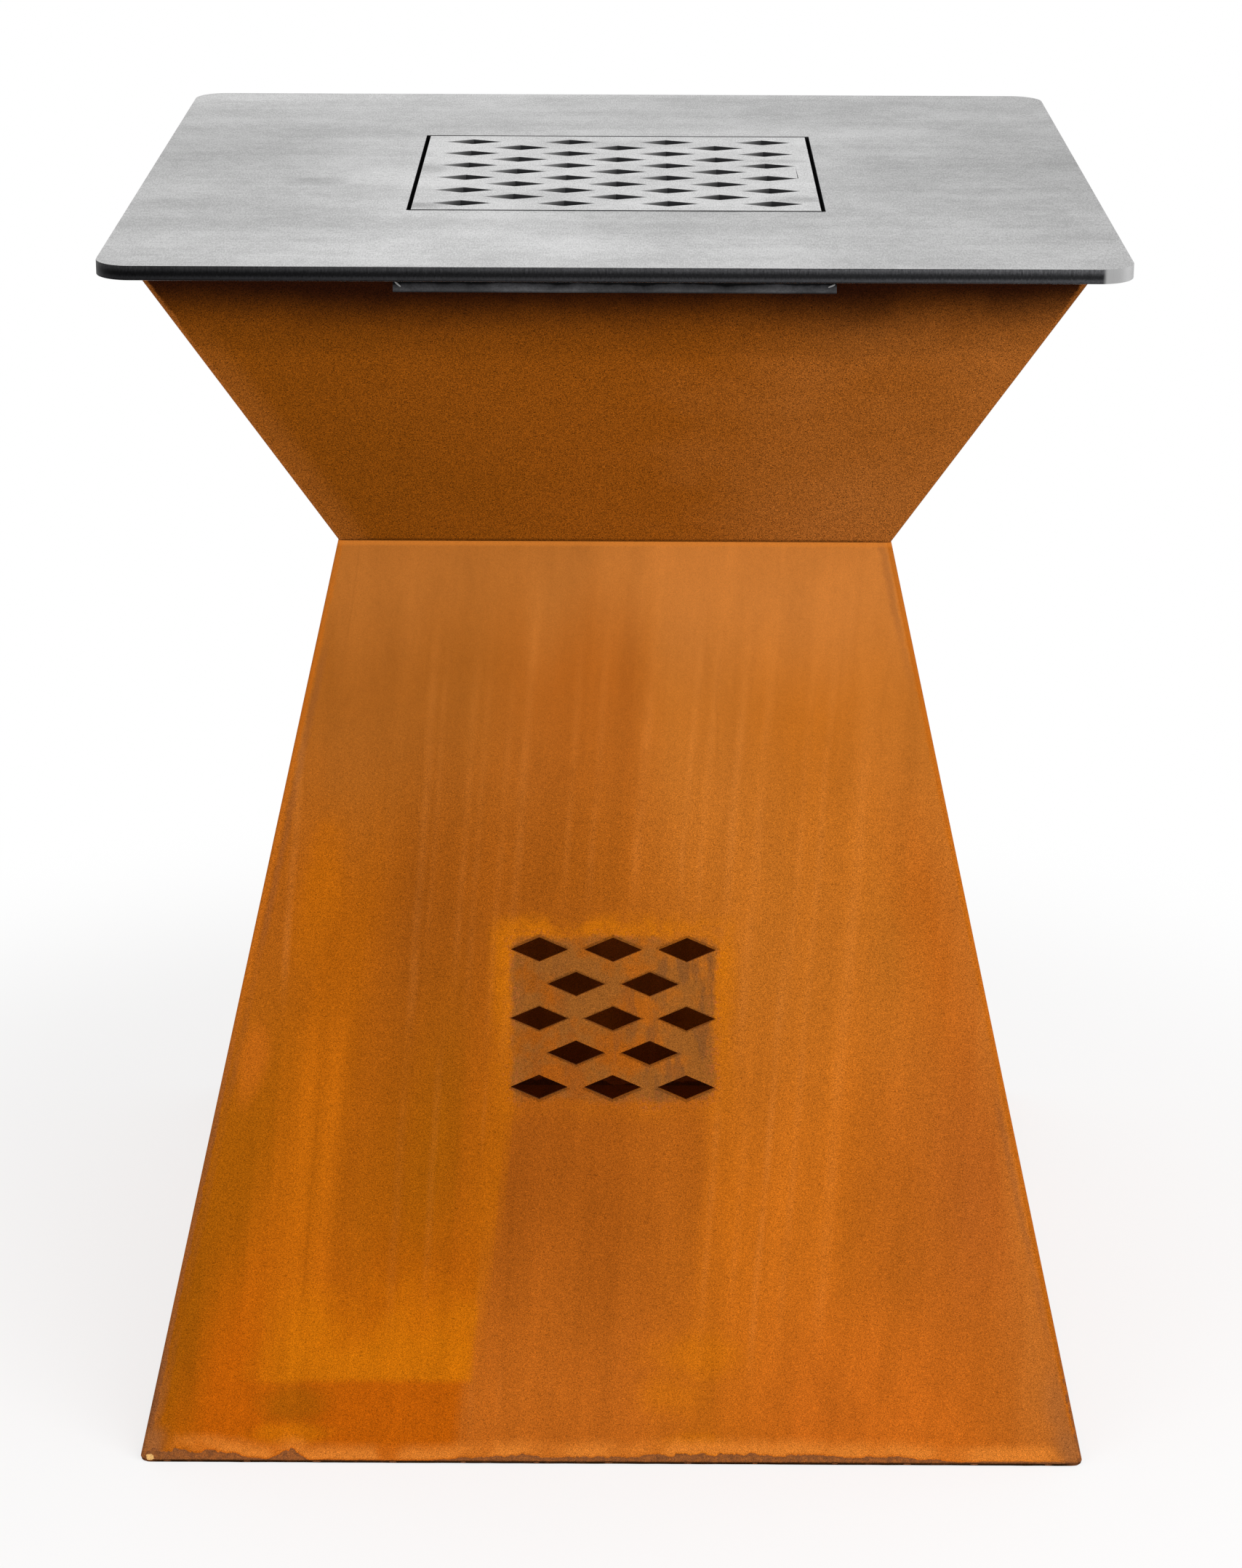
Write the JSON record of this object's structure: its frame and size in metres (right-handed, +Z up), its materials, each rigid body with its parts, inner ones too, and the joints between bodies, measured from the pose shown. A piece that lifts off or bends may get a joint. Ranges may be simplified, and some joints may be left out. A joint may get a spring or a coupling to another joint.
{
  "type": "garden fire pit with cooking plate and grate",
  "caption": "Garden fire pit: a tapering pedestal carries a flared square bowl with a hanging fire tray, a thick square cooking plate and a lift-out grate.",
  "frame": {"origin": "on the ground, in the middle of the square base", "axes": "+Z up, +X to the right and +Y to the rear for someone who stands in front of the vents"},
  "size_m": [0.7, 0.7, 0.9],
  "materials": {
    "weathered_steel_pedestal": "bare weathering steel with a matte orange rust patina, streaked and stained",
    "weathered_steel_bowl": "bare weathering steel with a darker, browner rust patina",
    "raw_plate_steel": "thick hot-rolled plate, brushed on top, dark cut edges",
    "dark_tray_steel": "dark sheet steel with mill scale",
    "zinc_fasteners": "zinc plated"
  },
  "bodies": {
    "pit": {"pedestal_front_panel": "weathered_steel_pedestal", "pedestal_right_panel": "weathered_steel_pedestal", "pedestal_rear_panel": "weathered_steel_pedestal", "pedestal_left_panel": "weathered_steel_pedestal", "base_bar_front": "weathered_steel_pedestal", "base_bar_right": "weathered_steel_pedestal", "base_bar_rear": "weathered_steel_pedestal", "base_bar_left": "weathered_steel_pedestal", "pedestal_corner_weld_front_right": "weathered_steel_pedestal", "pedestal_corner_weld_rear_right": "weathered_steel_pedestal", "pedestal_corner_weld_rear_left": "weathered_steel_pedestal", "pedestal_corner_weld_front_left": "weathered_steel_pedestal", "pedestal_top_plate": "weathered_steel_pedestal", "bowl_front_panel": "weathered_steel_bowl", "bowl_right_panel": "weathered_steel_bowl", "bowl_rear_panel": "weathered_steel_bowl", "bowl_left_panel": "weathered_steel_bowl", "bowl_corner_weld_front_right": "weathered_steel_bowl", "bowl_corner_weld_rear_right": "weathered_steel_bowl", "bowl_corner_weld_rear_left": "weathered_steel_bowl", "bowl_corner_weld_front_left": "weathered_steel_bowl", "bowl_floor": "weathered_steel_bowl", "neck_bolt_front_right": "zinc_fasteners", "neck_upper_washer_front_right": "zinc_fasteners", "neck_lower_washer_front_right": "zinc_fasteners", "neck_nut_front_right": "zinc_fasteners", "neck_bolt_rear_right": "zinc_fasteners", "neck_upper_washer_rear_right": "zinc_fasteners", "neck_lower_washer_rear_right": "zinc_fasteners", "neck_nut_rear_right": "zinc_fasteners", "neck_bolt_rear_left": "zinc_fasteners", "neck_upper_washer_rear_left": "zinc_fasteners", "neck_lower_washer_rear_left": "zinc_fasteners", "neck_nut_rear_left": "zinc_fasteners", "neck_bolt_front_left": "zinc_fasteners", "neck_upper_washer_front_left": "zinc_fasteners", "neck_lower_washer_front_left": "zinc_fasteners", "neck_nut_front_left": "zinc_fasteners"},
    "fire_tray": {"fire_tray_cradle": "dark_tray_steel", "fire_tray_right_side": "dark_tray_steel", "fire_tray_left_side": "dark_tray_steel"},
    "cooking_plate": {"cooking_plate": "raw_plate_steel"},
    "grate": {"grate_insert": "raw_plate_steel"}
  },
  "joints": [
    {"name": "tray_lift", "type": "slide", "parent": "pit", "child": "fire_tray", "axis": [0, 0, 1], "range_m": [0, 0.18]},
    {"name": "plate_lift", "type": "slide", "parent": "fire_tray", "child": "cooking_plate", "axis": [0, 0, 1], "range_m": [0, 0.2]},
    {"name": "grate_lift", "type": "slide", "parent": "cooking_plate", "child": "grate", "axis": [0, 0, 1], "range_m": [0, 0.12]}
  ]
}
